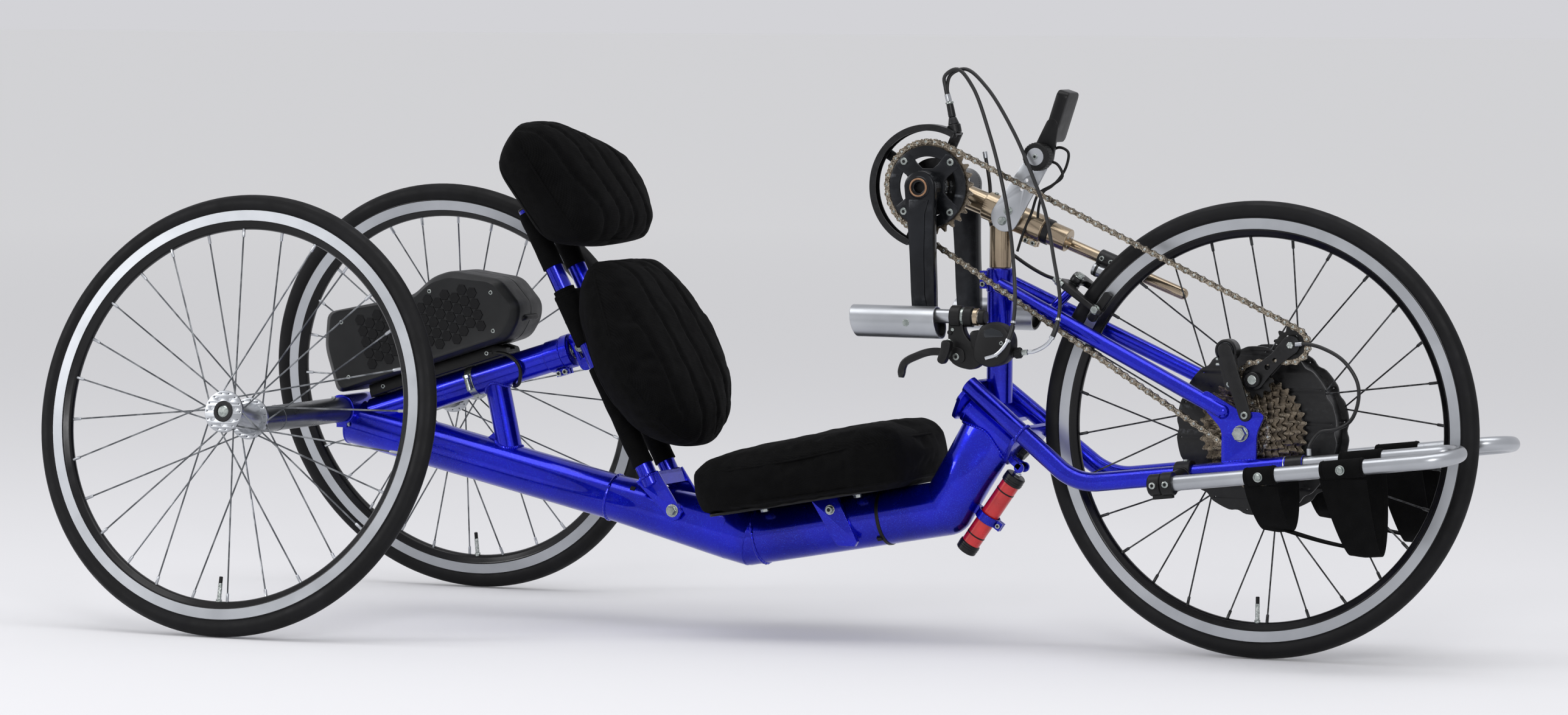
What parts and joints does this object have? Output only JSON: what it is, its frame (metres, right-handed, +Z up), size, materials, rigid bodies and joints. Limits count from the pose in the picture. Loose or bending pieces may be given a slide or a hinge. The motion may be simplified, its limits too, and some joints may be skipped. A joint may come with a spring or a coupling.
{
  "type": "handcycle",
  "caption": "Reclining handcycle that leans to steer: hand-cranked chain drive and hub motor in front, cambered rear wheels, padded seat, tall backrest and slung footrests.",
  "frame": {"origin": "on the ground, at the middle of the overall length and width", "axes": "+X forward in the direction of travel, +Y to the left of the rider, +Z up"},
  "size_m": [1.9759, 0.8152, 0.7775],
  "materials": {
    "blue_paint": "metallic royal blue, gloss",
    "nickel_plate": "champagne nickel plate",
    "bright_chrome": "polished",
    "satin_aluminium": "satin",
    "zinc_steel": "zinc plate",
    "chain_steel": "oiled steel",
    "black_metal": "satin black",
    "rim_black": "black anodised",
    "axle_grey": "gunmetal grey",
    "crank_grey": "dark grey anodised",
    "red_paint": "gloss",
    "bronze_ring": "bronze anodised",
    "black_plastic": "matte, fine grain",
    "gloss_plastic": "gloss black",
    "case_plastic": "grained dark grey",
    "screen": "gloss",
    "side_fabric": "plain woven black",
    "mesh_fabric": "spacer mesh, dark grey",
    "webbing": "woven webbing",
    "tyre_rubber": "fine tread",
    "cable_rubber": "satin"
  },
  "bodies": {
    "rear_frame": {"main_frame": "blue_paint", "battery_beam": "blue_paint", "axle_tube_r": "axle_grey", "axle_tube_l": "axle_grey", "battery_dock": "black_plastic", "seat_pan": "black_plastic", "seat_cushion": "mesh_fabric", "pivot_bolt": "black_metal", "hinge_bolt": "zinc_steel"},
    "damper": {"steer_damper": "red_paint"},
    "backrest": {"back_frame": "blue_paint", "back_cushion": "mesh_fabric", "shoulder_cushion": "mesh_fabric"},
    "adjuster": {"adjuster_rod": "bright_chrome"},
    "battery": {"battery_case": "case_plastic"},
    "rear_wheel_right": {"rear_tyre_r": "tyre_rubber", "rear_rim_r": "rim_black", "rear_hub_r": "satin_aluminium"},
    "rear_wheel_left": {"rear_tyre_l": "tyre_rubber", "rear_rim_l": "rim_black", "rear_hub_l": "satin_aluminium"},
    "front_frame": {"fork_frame": "blue_paint", "upper_fork": "blue_paint", "front_axle": "zinc_steel", "boom_post": "nickel_plate", "boom": "nickel_plate", "support_rod": "nickel_plate", "console_bracket": "satin_aluminium", "chain_guard": "black_metal", "footrest_r": "satin_aluminium", "foot_clamp_r": "black_plastic", "foot_sling_r": "webbing", "footrest_l": "satin_aluminium", "foot_clamp_l": "black_plastic", "foot_sling_l": "webbing", "derailleur_knuckle": "black_metal", "chain": "chain_steel", "brake_cable": "cable_rubber", "shift_cable": "cable_rubber", "caliper_cable": "cable_rubber", "derailleur_cable": "cable_rubber"},
    "console": {"display": "gloss_plastic"},
    "front_wheel": {"front_tyre": "tyre_rubber", "front_rim": "rim_black", "motor_hub": "black_metal"},
    "cranks": {"crank_r": "crank_grey", "crank_l": "crank_grey", "chainring": "zinc_steel"},
    "cassette_body": {"cassette": "chain_steel"},
    "derailleur": {"derailleur_link": "black_metal"},
    "cage": {"derailleur_cage": "black_metal"},
    "guide_wheel": {"guide_pulley": "black_plastic"},
    "tension_wheel": {"tension_pulley": "black_plastic"},
    "right_handle": {"handle_r": "satin_aluminium", "control_body": "black_plastic"},
    "left_handle": {"handle_l": "satin_aluminium"},
    "lever": {"brake_lever": "black_metal"},
    "shifter": {"shift_paddle": "black_plastic"},
    "caliper_right": {"brake_arm_r": "black_metal"},
    "caliper_left": {"brake_arm_l": "black_metal"}
  },
  "joints": [
    {"name": "lean_steer", "type": "hinge", "parent": "rear_frame", "child": "front_frame", "pos_m": [0.24214, 0, 0.331], "axis": [0.788, 0, -0.6157], "range_deg": [-25, 25], "stiffness_Nm_per_rad": 60},
    {"name": "damper_swing", "type": "hinge", "parent": "rear_frame", "child": "damper", "pos_m": [0.28116, 0, 0.17239], "axis": [0.788, 0, -0.6157], "range_deg": [-5.5, 5.5]},
    {"name": "backrest_recline", "type": "hinge", "parent": "rear_frame", "child": "backrest", "pos_m": [-0.16886, 0, 0.166], "axis": [0, 1, 0], "range_deg": [-0.6, 6]},
    {"name": "adjuster_slide", "type": "slide", "parent": "rear_frame", "child": "adjuster", "axis": [0.9537, 0, 0.3007], "range_m": [-0.003, 0.029]},
    {"name": "battery_slide", "type": "slide", "parent": "rear_frame", "child": "battery", "axis": [0.9537, 0, 0.3007], "range_m": [0, 0.03]},
    {"name": "rear_wheel_right_spin", "type": "hinge", "parent": "rear_frame", "child": "rear_wheel_right", "pos_m": [-0.68486, -0.34, 0.29814], "axis": [0, 0.9816, -0.1908], "continuous": true},
    {"name": "rear_wheel_left_spin", "type": "hinge", "parent": "rear_frame", "child": "rear_wheel_left", "pos_m": [-0.68486, 0.34, 0.29814], "axis": [0, 0.9816, 0.1908], "continuous": true},
    {"name": "front_wheel_spin", "type": "hinge", "parent": "front_frame", "child": "front_wheel", "pos_m": [0.66714, 0, 0.3035], "axis": [0, 1, 0], "continuous": true},
    {"name": "crank_spin", "type": "hinge", "parent": "front_frame", "child": "cranks", "pos_m": [0.21214, 0, 0.618], "axis": [0, 1, 0], "continuous": true, "deforming": ["brake_cable", "shift_cable"]},
    {"name": "cassette_spin", "type": "hinge", "parent": "front_frame", "child": "cassette_body", "pos_m": [0.66714, -0.05, 0.3035], "axis": [0, 1, 0], "continuous": true},
    {"name": "derailleur_shift", "type": "slide", "parent": "front_frame", "child": "derailleur", "axis": [0.1, 0.757, 0.6457], "range_m": [0, 0.034], "deforming": ["chain", "derailleur_cable"]},
    {"name": "cage_tension", "type": "hinge", "parent": "derailleur", "child": "cage", "pos_m": [0.67914, -0.05, 0.374], "axis": [0, 1, 0], "range_deg": [-20, 20], "stiffness_Nm_per_rad": 4, "deforming": ["chain", "derailleur_cable"]},
    {"name": "guide_pulley_spin", "type": "hinge", "parent": "cage", "child": "guide_wheel", "pos_m": [0.67914, -0.05, 0.374], "axis": [0, 1, 0], "continuous": true},
    {"name": "tension_pulley_spin", "type": "hinge", "parent": "cage", "child": "tension_wheel", "pos_m": [0.72874, -0.05, 0.4206], "axis": [0, 1, 0], "continuous": true},
    {"name": "right_handle_spin", "type": "hinge", "parent": "cranks", "child": "right_handle", "pos_m": [0.22014, -0.125, 0.44018], "axis": [0, 1, 0], "continuous": true, "deforming": ["brake_cable", "shift_cable"]},
    {"name": "left_handle_spin", "type": "hinge", "parent": "cranks", "child": "left_handle", "pos_m": [0.22014, 0.125, 0.44018], "axis": [0, 1, 0], "continuous": true},
    {"name": "brake_lever_pull", "type": "hinge", "parent": "right_handle", "child": "lever", "pos_m": [0.28814, -0.125, 0.39618], "axis": [0, 1, 0], "range_deg": [0, 14], "stiffness_Nm_per_rad": 1.5, "springref_deg": -6.88},
    {"name": "shift_paddle_push", "type": "hinge", "parent": "right_handle", "child": "shifter", "pos_m": [0.28114, -0.1473, 0.41618], "axis": [0, 1, 0], "range_deg": [0, 20], "stiffness_Nm_per_rad": 0.2, "springref_deg": -8.59},
    {"name": "caliper_right_close", "type": "hinge", "parent": "front_frame", "child": "caliper_right", "pos_m": [0.40377, 0, 0.49136], "axis": [0.5807, 0, 0.8141], "range_deg": [0, 2.4]},
    {"name": "caliper_left_close", "type": "hinge", "parent": "front_frame", "child": "caliper_left", "pos_m": [0.40377, 0, 0.49136], "axis": [0.5807, 0, 0.8141], "range_deg": [-2.4, 0]},
    {"name": "display_tilt", "type": "hinge", "parent": "front_frame", "child": "console", "pos_m": [0.36343, 0, 0.66066], "axis": [0, 1, 0], "range_deg": [-20, 20]}
  ],
  "couplings": [
    {"joint": "damper_swing", "follows": "lean_steer", "ratio": -0.202},
    {"joint": "adjuster_slide", "follows": "backrest_recline", "m_per_rad": 0.2698},
    {"joint": "cassette_spin", "follows": "crank_spin", "ratio": 2},
    {"joint": "guide_pulley_spin", "follows": "crank_spin", "ratio": -2.7273},
    {"joint": "tension_pulley_spin", "follows": "crank_spin", "ratio": 2.7273},
    {"joint": "caliper_right_close", "follows": "brake_lever_pull", "ratio": 0.16},
    {"joint": "caliper_left_close", "follows": "brake_lever_pull", "ratio": -0.16}
  ]
}
